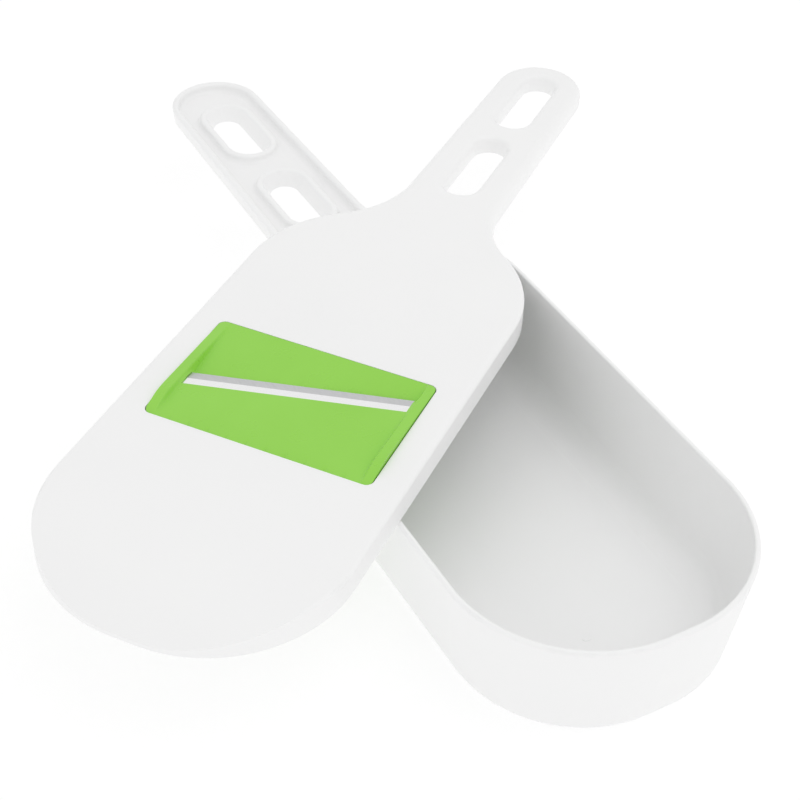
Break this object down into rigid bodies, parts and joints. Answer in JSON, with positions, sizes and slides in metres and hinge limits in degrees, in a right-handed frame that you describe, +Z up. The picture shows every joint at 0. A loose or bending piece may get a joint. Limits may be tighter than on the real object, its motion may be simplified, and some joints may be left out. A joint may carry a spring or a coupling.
{
  "type": "mandoline slicer",
  "caption": "Handheld mandoline slicer: a paddle-shaped slicing board with a slanted steel blade in a green insert, lying crosswise on a long catch container with a trough handle.",
  "frame": {"origin": "centre of the container's underside, where it stands on the table", "axes": "+Y along the container towards its handle, +Z up, +X to the right when looking along +Y"},
  "size_m": [0.2804, 0.333, 0.0506],
  "materials": {
    "container_plastic": "satin gloss, moulded",
    "board_plastic": "satin gloss, moulded",
    "insert_plastic": "satin gloss, moulded",
    "blade_steel": "ground",
    "clamp_plastic": "moulded"
  },
  "bodies": {
    "base": {"container": "container_plastic"},
    "board": {"slicing_board": "board_plastic"},
    "insert": {"blade_insert": "insert_plastic", "blade": "blade_steel", "blade_clamp": "clamp_plastic"}
  },
  "joints": [
    {"name": "board_lift", "type": "slide", "parent": "base", "child": "board", "axis": [0, 0, 1], "range_m": [0, 0.12]},
    {"name": "insert_lift", "type": "slide", "parent": "board", "child": "insert", "axis": [0, 0, 1], "range_m": [0, 0.03]}
  ]
}
